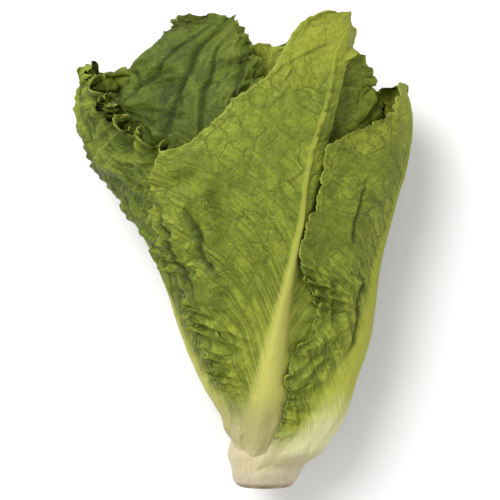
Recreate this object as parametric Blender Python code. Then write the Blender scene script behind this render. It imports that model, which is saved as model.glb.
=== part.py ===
"""A head of romaine lettuce as cut and bought, lying on its side.

+Y runs from the cut face of the stem to the leaf tips, and +Z is up from the surface that the head
lies on. The stem is one piece and each leaf is one piece: a thin blade with a thick rib down its
outer side. Leaves are laid one after another, from the heart outwards. Each one rests on what is
already inside it, so no two leaves meet however the sizes below are changed.

Every leaf lives in round-the-head coordinates: a height along the head, a turn about the head's
axis (0 degrees to the right, 90 up, 180 left, 270 down) and a distance out from that axis.
"""

import math

import bmesh
import bpy
import numpy as np

# Driving sizes, in metres.
HEAD_LENGTH = 0.300  # cut face to the highest leaf tip
HEAD_WIDTH = 0.216  # across the spread upper leaves
HEAD_HEIGHT = 0.104  # from the table up to the front leaf
STEM_RADIUS = 0.0195  # the cut butt
STEM_LENGTH = 0.092  # the stem's core, hidden among the leaves
STEM_RIM = 0.0012  # the bevel round the cut face
BUTT_LENGTH = 0.017  # the bare butt below the lowest leaf
BLADE_THICKNESS = 0.0011
RIB_THICKNESS = 0.0052  # an outer leaf's rib at its foot, blade left out
RIB_WIDTH = 0.030  # an outer leaf's rib at its foot
LEAF_GAP = 0.0011  # free space kept between two leaves
STEM_GAP = 0.0003  # between a leaf's foot and the stem it grows from
PRESS_REACH = 0.0036  # the outermost leaves are pressed flat onto the table where they hang this near it

# The head's outline. Each row is (share of HEAD_LENGTH, share of the size named).
AXIS_SIDE = ((0, 0.046), (0.08, 0.066), (0.19, 0.108), (0.3, 0.1), (0.45, 0.075), (0.6, 0.045), (0.72, 0.005), (1, 0))
AXIS_HEIGHT = ((0, 0.34), (0.1, 0.35), (0.3, 0.4), (0.5, 0.44), (0.75, 0.46), (1, 0.46))
HALF_WIDTH = ((0, 0.092), (0.08, 0.13), (0.19, 0.19), (0.3, 0.26), (0.45, 0.318), (0.6, 0.405), (0.7, 0.48), (0.77, 0.497), (0.88, 0.46), (1, 0.38))
HALF_TOP = ((0, 0.19), (0.1, 0.26), (0.2, 0.32), (0.4, 0.44), (0.6, 0.51), (0.8, 0.53), (0.9, 0.5), (1, 0.42))
UPPER_ROUNDNESS = 2.1  # the exponent of the outline's upper half, 2 for an ellipse
LOWER_FULLNESS = 1.22  # the lower half would hang this much below the table, which cuts it flat

# The grid that the laying is worked out on.
TURN_STEPS = 240
HEIGHT_STEPS = 151
STEM_SIDES = 28
CORE_RADIUS = 0.0025  # nothing is laid closer to the axis than this

# A leaf's margin when it isn't given one of its own: (share from foot to tip, share of widest reach).
REACH = ((0, 0.66), (0.12, 0.58), (0.25, 0.62), (0.45, 0.86), (0.62, 1), (0.78, 0.96), (0.9, 0.84), (1, 0.62))
TIP_DROP = 0.17  # how far a margin hangs below the tip, as a share of the leaf's length
SWING_LENGTH = 0.036  # height over which a leaf leaves the stem for its own place
RIB_TOP_WIDTH = 0.0034
RIB_TOP_THICKNESS = 0.0011
MIN_CLASP = 5  # degrees that is always kept between a rib's edge and the leaf's margin


def scaled(stations, size):
    """(place, share) rows as (place, size) rows."""
    return tuple((place, size * share) for place, share in stations)


class Leaf:
    """One leaf: where its rib runs, how far its two sides reach, and how deep in the head it sits."""

    def __init__(self, name, foot, tip, rib, left, right, depth, rows, side_columns, **more):
        self.name = name
        self.foot, self.tip = foot * HEAD_LENGTH, tip * HEAD_LENGTH
        self.rib = rib  # (share from foot to tip, the rib's turn in degrees)
        self.left = left if isinstance(left, tuple) else scaled(REACH, left)  # degrees out from the rib
        self.right = right if isinstance(right, tuple) else scaled(REACH, right)
        self.depth = depth  # share of the head's outline that the blade lies at
        self.rows, self.side_columns = rows, side_columns
        self.right_depth = more.get("right_depth", depth)  # a right side tucked further in
        self.left_depth = more.get("left_depth", depth)
        self.left_drop = more.get("left_drop", TIP_DROP)
        self.right_drop = more.get("right_drop", TIP_DROP)
        self.left_droop = more.get("left_droop", 2)  # 2 droops late, towards the margin, and 1 evenly
        self.swing = more.get("swing", SWING_LENGTH)
        self.pressed = more.get("pressed", False)  # one of the two that carry the head
        self.colour = more.get("colour", OUTER_GREEN)
        self.rib_share = more.get("rib_share", 1.0)  # rib size against an outer leaf's


OUTER_GREEN = (0.33, 0.43, 0.06)
MIDDLE_GREEN = (0.42, 0.52, 0.12)
HEART_GREEN = (0.62, 0.66, 0.28)
STEM_CREAM = (0.72, 0.66, 0.48)


def outer_leaves():
    """The leaves that show, outermost first."""
    return [
        Leaf(
            "outer_leaf_right", 0.030, 0.85, ((0, 34), (0.25, 24), (0.55, 13), (1, 5)),
            ((0, 70), (0.1, 55), (0.2, 60), (0.31, 60), (0.43, 36), (0.55, 56), (0.66, 54), (0.78, 47), (1, 44)),
            ((0, 52), (0.15, 62), (0.3, 78), (0.5, 86), (0.75, 78), (1, 46)), 1.0, 14, 5, left_depth=0.95, left_drop=0.165, left_droop=0.45, swing=0.024, rib_share=1.2,
            pressed=True,
        ),
        Leaf(
            "outer_leaf_front", 0.048, 1.0,
            ((0, 112), (0.14, 103), (0.3, 89), (0.45, 74), (0.65, 54), (0.85, 39), (1, 26)),
            ((0, 48), (0.08, 40), (0.2, 46), (0.35, 66), (0.55, 88), (0.68, 100), (0.85, 96), (1, 88)),
            ((0, 44), (0.3, 36), (0.45, 30), (0.6, 16), (0.75, 8), (0.9, 10), (1, 14)),
            1.0, 14, 6, right_depth=0.86, left_drop=0.3, left_droop=1.35, right_drop=0.09,
        ),
        Leaf(
            "outer_leaf_left", 0.078, 0.87, ((0, 182), (0.4, 184), (1, 187)), 64, 62, 0.98, 12, 5,
            right_depth=0.97, pressed=True,
        ),
        Leaf("outer_leaf_back", 0.056, 0.95, ((0, 268), (1, 274)), 62, 60, 0.9, 12, 4),
        Leaf(
            "upper_leaf_right", 0.088, 0.90, ((0, 24), (1, 42)), 54, 56, 0.80, 11, 3,
            rib_share=0.7, right_drop=0.12,
        ),
        Leaf("lower_leaf_left", 0.084, 0.955, ((0, 222), (1, 228)), 58, 56, 0.76, 11, 3, rib_share=0.7),
        Leaf(
            "upper_leaf_left", 0.098, 0.99, ((0, 140), (1, 114)), 60, 56, 0.82, 11, 3,
            rib_share=0.7, left_drop=0.09, right_drop=0.12,
        ),
        Leaf("lower_leaf_right", 0.090, 0.945, ((0, 318), (1, 311)), 58, 54, 0.77, 11, 3, rib_share=0.7),
    ]


def ring_of_leaves(name, count, first_turn, foot, tip, depth, reach, rib_share, colour):
    """Leaves set evenly round the head, each foot a little higher up the stem than the one before."""
    ring = []
    for number in range(count):
        turn = first_turn + 360 * number / count
        ring.append(
            Leaf(
                f"{name}_{number + 1}", foot + 0.011 * number, tip - 0.013 * number,
                ((0, turn), (1, turn + 6)), reach, reach, depth - 0.012 * number, 9, 3,
                rib_share=rib_share, colour=colour,
            )
        )
    return ring


def all_leaves():
    """Every leaf, outermost first."""
    return (
        outer_leaves()
        + ring_of_leaves("middle_leaf", 4, 58, 0.118, 0.92, 0.64, 56, 0.55, MIDDLE_GREEN)
        + ring_of_leaves("inner_leaf", 4, 30, 0.165, 0.85, 0.47, 56, 0.42, MIDDLE_GREEN)
        + ring_of_leaves("heart_leaf", 4, 72, 0.210, 0.76, 0.30, 58, 0.30, HEART_GREEN)
        + ring_of_leaves("heart_bud", 2, 130, 0.255, 0.66, 0.15, 62, 0.22, HEART_GREEN)
    )


def through(stations, at):
    """A smooth curve through (place, value) rows, read at one place or an array of places."""
    place, value = (np.array(column, float) for column in zip(*stations))
    slope = np.gradient(value, place)
    at = np.clip(np.asarray(at, float), place[0], place[-1])
    i = np.clip(np.searchsorted(place, at, side="right") - 1, 0, len(place) - 2)
    span = place[i + 1] - place[i]
    u = (at - place[i]) / span
    return (
        value[i] * (1 + 2 * u) * (1 - u) ** 2
        + slope[i] * span * u * (1 - u) ** 2
        + value[i + 1] * u**2 * (3 - 2 * u)
        + slope[i + 1] * span * u**2 * (u - 1)
    )


def ease(u):
    """0 to 1, starting and ending level."""
    u = np.clip(u, 0, 1)
    return u * u * (3 - 2 * u)


def axis_point(height):
    """(sideways, up) place of the head's axis at a height along it."""
    share = height / HEAD_LENGTH
    return HEAD_WIDTH * through(AXIS_SIDE, share), HEAD_HEIGHT * through(AXIS_HEIGHT, share)


def outline_radius(turn, height):
    """How far out the head reaches at a turn (radians) and a height."""
    share = height / HEAD_LENGTH
    across, up = np.cos(turn), np.sin(turn)
    side = HEAD_WIDTH * through(HALF_WIDTH, share)
    table = HEAD_HEIGHT * through(AXIS_HEIGHT, share)
    depth = np.where(up > 0, HEAD_HEIGHT * through(HALF_TOP, share), LOWER_FULLNESS * table)
    n = UPPER_ROUNDNESS
    radius = (np.abs(across / side) ** n + np.abs(up / depth) ** n) ** (-1 / n)
    return np.minimum(radius, table / np.maximum(-up, 1e-6))


def stem_radius(height):
    """The stem is full width at the cut butt and then narrows as leaves leave it."""
    above_butt = (height - BUTT_LENGTH) / (STEM_LENGTH - BUTT_LENGTH)
    return STEM_RADIUS * (1 - 0.88 * np.clip(above_butt, 0, 1) ** 0.62)


HEIGHTS = np.linspace(0, HEAD_LENGTH, HEIGHT_STEPS)
TURNS = np.linspace(0, 2 * math.pi, TURN_STEPS, endpoint=False)


def read_grid(grid, turn, height):
    """A value of the laying grid between its points, going round past 360 degrees."""
    x = (np.asarray(turn) / (2 * math.pi) % 1) * TURN_STEPS
    y = np.clip(np.asarray(height) / HEAD_LENGTH, 0, 1) * (HEIGHT_STEPS - 1)
    i, j = np.floor(x).astype(int) % TURN_STEPS, np.minimum(np.floor(y).astype(int), HEIGHT_STEPS - 2)
    u, v = x - np.floor(x), y - j
    k = (i + 1) % TURN_STEPS
    low = grid[j, i] * (1 - u) + grid[j, k] * u
    high = grid[j + 1, i] * (1 - u) + grid[j + 1, k] * u
    return low * (1 - v) + high * v


def rib_turn(leaf, t):
    """The rib's turn in radians, t going from 0 at the foot to 1 at the tip."""
    return np.radians(through(leaf.rib, t))


def rib_half_width(leaf, t):
    top = RIB_TOP_WIDTH * leaf.rib_share**0.5
    return 0.5 * (top + (RIB_WIDTH * leaf.rib_share - top) * (1 - ease(t / 0.8)) ** 1.6)


def rib_thickness(leaf, t):
    swell = 0.35 + 0.65 * ease(t / 0.09)  # the foot thins where it joins the stem
    thick = RIB_TOP_THICKNESS + (RIB_THICKNESS * leaf.rib_share - RIB_TOP_THICKNESS) * (1 - t) ** 1.6
    return np.maximum(thick, 0.0006) * swell


def across_the_leaf(leaf):
    """Column places: -1 and 1 are the margins, and the middle three are the rib's edges and crest."""
    blade = [1 - k / leaf.side_columns for k in range(leaf.side_columns)]
    return [(-1, b) for b in blade] + [(0, -1), (0, 0), (0, 1)] + [(1, b) for b in reversed(blade)]


def leaf_grid(leaf):
    """Turns and heights of a leaf's mesh points, its rib profile (1 on the crest) and its rows."""
    t = np.linspace(0, 1, leaf.rows + 1)[:, None]
    centre = rib_turn(leaf, t)
    length = leaf.tip - leaf.foot
    radius = leaf.depth * outline_radius(centre, leaf.foot + t * length)
    radius = np.maximum(radius, stem_radius(leaf.foot + t * length))
    rib = np.minimum(rib_half_width(leaf, t) / radius, np.radians(48))
    turns, drops, crest = [], [], []
    for side, share in across_the_leaf(leaf):
        if side == 0:
            turns.append(centre - share * rib)
            drops.append(np.zeros_like(t))
            crest.append(1.0 if share == 0 else 0.0)
            continue
        reach = np.radians(through(leaf.right if side > 0 else leaf.left, t))
        reach = np.maximum(reach, rib + np.radians(MIN_CLASP))
        drop = leaf.right_drop if side > 0 else leaf.left_drop
        turns.append(centre - side * (rib + (reach - rib) * share))
        drops.append(drop * length * share ** (2 if side > 0 else leaf.left_droop) * t**3)
        crest.append(0.0)
    turns = np.hstack(turns)
    heights = leaf.foot + length * t - np.hstack(drops)
    return turns, heights, np.array(crest)[None, :] * np.ones_like(turns), t


def facet_weights(steps):
    """Sample points over one four-sided facet, split both ways, as weights of its four corners."""
    rows = []
    for corners in ((0, 1, 3), (0, 3, 2), (0, 1, 2), (1, 3, 2)):
        for i in range(steps + 1):
            for j in range(steps + 1 - i):
                weights = np.zeros(4)
                weights[list(corners)] = i / steps, j / steps, (steps - i - j) / steps
                rows.append(weights)
    return np.array(rows)


WEIGHTS = facet_weights(7)


def facet_corners(grid):
    """The four corner values of each facet, last axis first row then second row."""
    return np.stack([grid[:-1, :-1], grid[:-1, 1:], grid[1:, :-1], grid[1:, 1:]], axis=-1)


def facet_samples(turns, heights, radii):
    """(turn, height, radius) of points spread over every facet of a leaf's side."""
    places = point_at(turns, heights, radii)
    x, y, z = (facet_corners(places[..., axis]) @ WEIGHTS.T for axis in range(3))
    side, up = axis_point(y)
    return np.arctan2(z - up, x - side), y, np.hypot(x - side, z - up)


def lay_leaf(leaf, occupied):
    """Inner and outer distance from the axis at each mesh point of a leaf, clear of what is inside."""
    turns, heights, crest, t = leaf_grid(leaf)
    above_foot = heights - leaf.foot
    from_rib = np.degrees(turns - rib_turn(leaf, np.clip(above_foot / (leaf.tip - leaf.foot), 0, 1)))
    inward = (leaf.right_depth - leaf.depth) * ease((-from_rib - 3) / 9)
    inward = inward + (leaf.left_depth - leaf.depth) * ease((from_rib - 20) / 20)
    depth = leaf.depth + inward * ease(above_foot / 0.05)
    stem = stem_radius(heights) + STEM_GAP
    place = depth * outline_radius(turns, heights) - BLADE_THICKNESS
    radii = stem + (np.maximum(place, stem) - stem) * ease(above_foot / leaf.swing)
    laid = radii.copy()
    share = (WEIGHTS**2).sum(axis=1)
    for _ in range(40):
        turn, height, radius = facet_samples(turns, heights, radii)
        above = height - leaf.foot
        gap = STEM_GAP + (LEAF_GAP - STEM_GAP) * ease((above - 0.002) / 0.01)
        short = np.maximum(read_grid(occupied, turn, height) + gap - radius, 0)
        if short.max() < 1e-5:
            break
        lift = (short[..., None] * WEIGHTS / share[:, None]).max(axis=2)
        raised = np.zeros_like(radii)
        for corner, (row, column) in enumerate(((0, 0), (0, 1), (1, 0), (1, 1))):
            part = raised[row : row + lift.shape[0], column : column + lift.shape[1]]
            np.maximum(part, lift[..., corner], out=part)
        radii = radii + raised
        extra = np.pad(radii - laid, 1, mode="edge")
        near = (extra[:-2, 1:-1] + extra[2:, 1:-1] + extra[1:-1, :-2] + extra[1:-1, 2:]) / 4
        radii = np.maximum(radii, laid + 0.8 * near)
    outer = radii + BLADE_THICKNESS + crest * rib_thickness(leaf, t)
    return turns, heights, radii, outer


def add_to_grid(occupied, turns, heights, outer):
    """The laying grid raised to the outer side of a leaf."""
    grown = occupied.copy()
    turn, height, radius = facet_samples(turns, heights, outer)
    x = turn / (TURNS[1] - TURNS[0])
    y = np.clip(height / (HEIGHTS[1] - HEIGHTS[0]), 0, HEIGHT_STEPS - 1)
    for low_x, low_y in ((0, 0), (0, 1), (1, 0), (1, 1)):
        column = (np.floor(x).astype(int) + low_x) % TURN_STEPS
        row = np.minimum(np.floor(y).astype(int) + low_y, HEIGHT_STEPS - 1)
        np.maximum.at(grown, (row.ravel(), column.ravel()), radius.ravel())
    return grown


def point_at(turn, height, radius):
    """World place of a round-the-head coordinate."""
    side, up = axis_point(height)
    return np.stack([side + radius * np.cos(turn), height, up + radius * np.sin(turn)], axis=-1)


def finish(name, mesh, colour, roughness):
    material = bpy.data.materials.new(name)
    material.use_nodes = True
    shader = material.node_tree.nodes["Principled BSDF"]
    shader.inputs["Base Color"].default_value = (*colour, 1)
    shader.inputs["Roughness"].default_value = roughness
    shader.inputs["Metallic"].default_value = 0
    mesh.materials.append(material)
    mesh.shade_smooth()
    obj = bpy.data.objects.new(name, mesh)
    bpy.context.collection.objects.link(obj)
    return obj


def leaf_solid(leaf, inner_points, outer_points):
    """A grid on the leaf's inner side, extruded to its outer side."""
    rows, columns = inner_points.shape[:2]
    bm = bmesh.new()
    bmesh.ops.create_grid(bm, x_segments=columns - 1, y_segments=rows - 1, size=1)
    bm.verts.ensure_lookup_table()
    inner_verts = list(bm.verts)
    sheet = bmesh.ops.extrude_face_region(bm, geom=list(bm.faces), use_keep_orig=True)
    outer_verts = [v for v in sheet["geom"] if isinstance(v, bmesh.types.BMVert)]
    by_place = {(round(v.co.x, 4), round(v.co.y, 4)): v for v in outer_verts}
    twins = [by_place[round(v.co.x, 4), round(v.co.y, 4)] for v in inner_verts]
    for number, (low, high) in enumerate(zip(inner_verts, twins)):
        row, column = divmod(number, columns)
        low.co = inner_points[row, column]
        high.co = outer_points[row, column]
    bmesh.ops.recalc_face_normals(bm, faces=bm.faces)
    mesh = bpy.data.meshes.new(leaf.name)
    bm.to_mesh(mesh)
    bm.free()
    return finish(leaf.name, mesh, leaf.colour, 0.45)


def stem_grid():
    """Turns, heights and distances from the axis of the stem's rings, from the cut face up."""
    shares = np.array([0.06, 0.15, 0.3, 0.5, 0.75, 1])
    above = BUTT_LENGTH + (STEM_LENGTH - BUTT_LENGTH) * shares
    rings = np.concatenate([[0, STEM_RIM, BUTT_LENGTH], above])[:, None]
    turns = np.linspace(0, 2 * math.pi, STEM_SIDES + 1)[None, :] + 0 * rings
    heights = rings + 0 * turns
    radii = stem_radius(heights) - STEM_RIM * (heights == 0)
    return turns, heights, radii


def stem_solid():
    """The stem: a cut butt with a bevelled rim, and a core that narrows up among the leaves."""
    bm = bmesh.new()
    loops = []
    for ring in point_at(*stem_grid())[:, :-1]:
        verts = [bm.verts.new(point) for point in ring]
        loops.append([bm.edges.new((verts[k - 1], verts[k])) for k in range(len(verts))])
    for low, high in zip(loops, loops[1:]):
        bmesh.ops.bridge_loops(bm, edges=low + high)
    for end in (loops[0], loops[-1]):
        bmesh.ops.contextual_create(bm, geom=end)
    bmesh.ops.recalc_face_normals(bm, faces=bm.faces)
    mesh = bpy.data.meshes.new("stem")
    bm.to_mesh(mesh)
    bm.free()
    return finish("stem", mesh, STEM_CREAM, 0.6)


def stand_on_the_table(objects, table):
    """Moves the head so that it stands at z = 0 with its box's centre over the origin."""
    points = np.array([v.co for obj in objects for v in obj.data.vertices])
    low, high = points.min(axis=0), points.max(axis=0)
    for obj in objects:
        obj.location = (-(low[0] + high[0]) / 2, -(low[1] + high[1]) / 2, -table)


def build():
    for obj in list(bpy.data.objects):
        bpy.data.objects.remove(obj)
    occupied = add_to_grid(np.full((HEIGHT_STEPS, TURN_STEPS), CORE_RADIUS), *stem_grid())
    laid = []
    for leaf in reversed(all_leaves()):
        turns, heights, inner, outer = lay_leaf(leaf, occupied)
        occupied = add_to_grid(occupied, turns, heights, outer)
        bare = point_at(turns, heights, inner + BLADE_THICKNESS)  # the outer side without its rib
        laid.append((leaf, point_at(turns, heights, inner), point_at(turns, heights, outer), bare))
    table = min(bare[..., 2].min() for _, _, _, bare in laid)
    objects = [stem_solid()]
    for leaf, inner, outer, bare in laid:
        outer[..., 2] = np.maximum(outer[..., 2], table)
        if leaf.pressed:
            sink = np.where(bare[..., 2] - table < PRESS_REACH, bare[..., 2] - table, 0)
            inner[..., 2] -= sink
            outer[..., 2] = np.where(sink > 0, table, outer[..., 2])
        objects.append(leaf_solid(leaf, inner, outer))
    stand_on_the_table(objects, table)


build()
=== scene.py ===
"""A head of romaine lettuce lying on a pale floor, seen from straight above.

Every leaf is drawn over its own CAD leaf: its margins, its rib line and how far out it lies are all
read off that solid. The fine shape is then added to it: the rib, veins, blisters, ruffles and teeth.
Leaves are finished from the heart outwards and each is eased outwards over what it covers. That
keeps them apart but for thin strips and specks, where a fold still cuts into the next leaf.
"""

import math

import bmesh
import bpy
import numpy as np
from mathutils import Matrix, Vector
from mathutils.bvhtree import BVHTree


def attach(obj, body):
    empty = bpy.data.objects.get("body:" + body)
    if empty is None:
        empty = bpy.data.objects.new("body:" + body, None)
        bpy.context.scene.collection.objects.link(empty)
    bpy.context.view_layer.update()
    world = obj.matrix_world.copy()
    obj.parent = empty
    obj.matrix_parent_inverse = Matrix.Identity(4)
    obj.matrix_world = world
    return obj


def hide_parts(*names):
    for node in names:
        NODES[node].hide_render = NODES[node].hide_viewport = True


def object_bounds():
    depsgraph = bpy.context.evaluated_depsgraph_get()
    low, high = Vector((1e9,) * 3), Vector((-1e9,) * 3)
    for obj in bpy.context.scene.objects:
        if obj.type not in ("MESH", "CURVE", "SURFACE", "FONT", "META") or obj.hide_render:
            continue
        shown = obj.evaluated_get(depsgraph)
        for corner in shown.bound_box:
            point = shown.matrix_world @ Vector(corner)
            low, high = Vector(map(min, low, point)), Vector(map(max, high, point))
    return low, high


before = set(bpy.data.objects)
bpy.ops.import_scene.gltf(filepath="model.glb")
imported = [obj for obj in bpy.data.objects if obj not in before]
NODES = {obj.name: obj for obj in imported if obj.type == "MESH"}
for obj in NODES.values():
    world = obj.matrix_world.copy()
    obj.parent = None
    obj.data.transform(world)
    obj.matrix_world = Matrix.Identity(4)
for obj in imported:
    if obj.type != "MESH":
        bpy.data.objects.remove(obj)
cad_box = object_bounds()
CUT_FACE = cad_box[0].y
LENGTH = cad_box[1].y - cad_box[0].y
BLADE = 0.0007  # a leaf's thickness away from its rib
THIN_RIB = 0.0042  # the width of the fine line that runs on past a rib's thick part
CLEAR = 0.0003  # the gap aimed for between a leaf and what it covers


# ---------------------------------------------------------------- numbers


def ease(x):
    x = np.clip(x, 0, 1)
    return x * x * (3 - 2 * x)


def blurred(grid, passes, wrap=False):
    """Binomial smoothing in both directions."""
    for _ in range(passes):
        padded = np.vstack([grid[:1], grid, grid[-1:]])
        grid = (padded[:-2] + 2 * padded[1:-1] + padded[2:]) / 4
        sides = (grid[:, -1:], grid[:, :1]) if wrap else (grid[:, :1], grid[:, -1:])
        padded = np.hstack([sides[0], grid, sides[1]])
        grid = (padded[:, :-2] + 2 * padded[:, 1:-1] + padded[:, 2:]) / 4
    return grid


def blurred_row(row, passes):
    for _ in range(passes):
        padded = np.concatenate([row[:1], row, row[-1:]])
        row = (padded[:-2] + 2 * padded[1:-1] + padded[2:]) / 4
    return row


def hashed(i, j, seed):
    """A fixed random number from 0 to 1 for each whole-numbered place."""
    value = np.sin(i * 127.1 + j * 311.7 + seed * 74.7) * 43758.5453
    return value - np.floor(value)


def noise(x, y, seed):
    """Smooth noise from -1 to 1 with features about one unit across."""
    i, j = np.floor(x), np.floor(y)
    u, v = ease(x - i), ease(y - j)
    low = hashed(i, j, seed) * (1 - u) + hashed(i + 1, j, seed) * u
    high = hashed(i, j + 1, seed) * (1 - u) + hashed(i + 1, j + 1, seed) * u
    return 2 * (low * (1 - v) + high * v) - 1


def rough_noise(x, y, seed, octaves=3):
    total, size = 0, 1.0
    for octave in range(octaves):
        total = total + size * noise(x * 2**octave, y * 2**octave, seed + 17 * octave)
        size *= 0.5
    return total / 1.6


def cells(x, y, seed):
    """How far each place is inside its cell: 0 on the line between two cells, about 0.5 at a middle."""
    i, j = np.floor(x), np.floor(y)
    first = np.full(np.shape(x), 9.0)
    second = first.copy()
    for a in (-1, 0, 1):
        for b in (-1, 0, 1):
            p = i + a + 0.1 + 0.8 * hashed(i + a, j + b, seed)
            q = j + b + 0.1 + 0.8 * hashed(i + a, j + b, seed + 5)
            far = np.hypot(x - p, y - q)
            second = np.minimum(second, np.maximum(first, far))
            first = np.minimum(first, far)
    return second - first


# ---------------------------------------------------------------- round-the-head places


def solid_of(node):
    """The welded world points, edges and ray tree of a CAD node, from a merged copy."""
    bm = bmesh.new()
    bm.from_mesh(node.data)
    bm.transform(node.matrix_world)
    bmesh.ops.remove_doubles(bm, verts=bm.verts, dist=1e-5)
    points = np.array([v.co for v in bm.verts])
    edges = np.array([[v.index for v in e.verts] for e in bm.edges])
    tree = BVHTree.FromBMesh(bm)
    bm.free()
    return points, edges, tree


SOLIDS = {name: solid_of(node) for name, node in NODES.items()}


def head_axis():
    """(heights, sideways, up) of the line through the middle of the head, from its slices."""
    every = np.vstack([points for points, _, _ in SOLIDS.values()])
    heights = np.linspace(0, LENGTH, 61)
    middle = []
    for height in heights:
        near = every[np.abs(every[:, 1] - CUT_FACE - height) < 0.016]
        middle.append([(near[:, k].min() + near[:, k].max()) / 2 for k in (0, 2)])
    middle = np.array(middle)
    return heights, blurred_row(middle[:, 0], 6), blurred_row(middle[:, 1], 6)


AXIS = head_axis()


def axis_at(height):
    return np.interp(height, AXIS[0], AXIS[1]), np.interp(height, AXIS[0], AXIS[2])


def place_of(turn, height, radius):
    side, up = axis_at(height)
    return np.stack([side + radius * np.cos(turn), CUT_FACE + height, up + radius * np.sin(turn)], axis=-1)


def around(points):
    """(turn, height, radius) of world points."""
    height = points[..., 1] - CUT_FACE
    side, up = axis_at(height)
    x, z = points[..., 0] - side, points[..., 2] - up
    return np.arctan2(z, x), height, np.hypot(x, z)


def all_leaves_tree():
    bm = bmesh.new()
    for node in NODES.values():
        bm.from_mesh(node.data)
    tree = BVHTree.FromBMesh(bm)
    bm.free()
    return tree


EVERYTHING = all_leaves_tree()


class Sheet:
    """The plain shape of one leaf as read off its CAD solid, on a grid of rows (foot to tip) by
    columns (left margin, rib, right margin)."""

    def __init__(self, name, rows, columns, tip_round):
        points, edges, tree = SOLIDS[name]
        turn, height, _ = around(points)
        middle = math.atan2(np.sin(turn).mean(), np.cos(turn).mean())
        turn = middle + (turn - middle + math.pi) % (2 * math.pi) - math.pi
        self.foot, self.tip = height.min(), height.max()
        self.length = self.tip - self.foot
        coarse = self.foot + self.length * np.linspace(0.004, 0.994, 81)
        self._slice(points, edges, middle, coarse)
        self._find_rib(tree, coarse)
        self._lay_grid(tree, coarse, rows, columns, tip_round)

    def _slice(self, points, edges, middle, coarse):
        low, high = [], []
        a, b = points[edges[:, 0]], points[edges[:, 1]]
        for height in coarse:
            level = height + CUT_FACE
            cut = (a[:, 1] - level) * (b[:, 1] - level) < 0
            share = (level - a[cut, 1]) / (b[cut, 1] - a[cut, 1])
            turn, _, _ = around(a[cut] + share[:, None] * (b[cut] - a[cut]))
            turn = middle + (turn - middle + math.pi) % (2 * math.pi) - math.pi
            low.append(turn.min())
            high.append(turn.max())
        self.low, self.high = np.array(low), np.array(high)

    def _find_rib(self, tree, coarse):
        """The rib runs along the thickest part. A low-order curve through it is smooth."""
        found, weight = [], []
        for height, low, high in zip(coarse, self.low, self.high):
            turns = np.linspace(low, high, 45)[2:-2]
            inner, outer = cast_out(tree, turns, np.full(turns.shape, height))
            thick = np.where(np.isnan(inner + outer), 0, outer - inner)
            thick = thick - np.median(thick)
            peak = np.clip(thick, 0, None) ** 4
            found.append((peak * turns).sum() / (peak.sum() + 1e-30))
            weight.append(thick.max() if high - low > 0.5 else 0.0)
        share = (coarse - self.foot) / self.length
        fit = np.polyfit(share, found, 3, w=np.array(weight) + 1e-6)
        self.rib_line = np.polyval(fit, share)
        margin = 0.06 * (self.high - self.low)
        self.rib_line = np.clip(self.rib_line, self.low + margin, self.high - margin)

    def _lay_grid(self, tree, coarse, rows, columns, tip_round):
        self.t = np.linspace(0, 1, rows)[:, None]
        left = np.mean((self.high - self.rib_line) / (self.high - self.low))
        left = int(np.clip(round(columns * left), columns * 0.25, columns * 0.75))
        sides = np.linspace(-1, 0, left), np.linspace(0, 1, columns - left + 1)[1:]
        self.s = np.concatenate(sides)[None, :] + 0 * self.t
        self.height = coarse[0] + (coarse[-1] - coarse[0]) * self.t + 0 * self.s
        row = self.height[:, 0]
        lines = (self.low, self.high, self.rib_line)
        low, high, rib = (np.interp(row, coarse, blurred_row(line, 2))[:, None] for line in lines)
        # A tip that comes to a point in the CAD is rounded over.
        near_tip = np.clip((self.tip - row)[:, None] / tip_round, 0, 1)
        wide = np.sqrt(np.clip(2 * near_tip - near_tip**2, 0.004, 1)) / np.clip(near_tip, 0.12, 1) ** 0.6
        low, high = rib - (rib - low) * wide, rib + (high - rib) * wide
        # Left is the side of the greater turn.
        self.turn = rib + np.where(self.s < 0, -self.s * (high - rib), -self.s * (rib - low))
        sample_t = np.linspace(0, 1, 64)[:, None]
        sample_s = np.concatenate([np.linspace(-0.96, 0, 24), np.linspace(0, 0.96, 24)[1:]])[None, :]
        at = np.interp(sample_t, self.t[:, 0], row)
        low, high, rib = (np.interp(at, row, line[:, 0]) for line in (low, high, rib))
        turns = rib + np.where(sample_s < 0, -sample_s * (high - rib), -sample_s * (rib - low))
        at = at + 0 * turns
        inner, _ = cast_out(tree, turns, at)
        inner = filled(inner)
        self.sample = (sample_t[:, 0], sample_s[0])
        self.inner = self.spread(inner)
        smooth = blurred(self.inner, 26)
        keep = ease(self.t / 0.05)
        self.inner = self.inner * (1 - keep) + smooth * keep
        places = zip(turns.ravel(), at.ravel(), inner.ravel())
        seen = np.array([float(self._is_open(*place)) for place in places]).reshape(turns.shape)
        self.open = blurred(self.spread(seen), 16)
        step = np.diff(self.turn, axis=1) * (self.inner[:, 1:] + self.inner[:, :-1]) / 2
        across = np.hstack([np.zeros((rows, 1)), -np.cumsum(step, axis=1)])
        self.q = across - across[:, left - 1 : left]
        self.l = self.height - self.foot
        self.margin, self.along = self._margins()

    def narrow(self, trim):
        """Take the two sides of the blade in towards the rib, by shares that change along the leaf."""
        left, right = trim(self.t)
        place = np.where(self.s < 0, self.s * left, self.s * right)
        for name in ("turn", "inner", "open", "q"):
            grid = getattr(self, name)
            setattr(self, name, np.array([np.interp(*row) for row in zip(place, self.s, grid)]))
        self.margin, self.along = self._margins()

    def _is_open(self, turn, height, radius):
        """Whether no other leaf lies outside this place."""
        start = place_of(turn, height, radius + 0.009)
        hit = EVERYTHING.ray_cast(Vector(start), Vector((math.cos(turn), 0, math.sin(turn))))
        return hit[0] is None

    def spread(self, sample):
        """A coarse sample grid read on the full grid."""
        rows = np.array([np.interp(self.s[0], self.sample[1], line) for line in sample])
        return np.array([np.interp(self.t[:, 0], self.sample[0], column) for column in rows.T]).T

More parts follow.
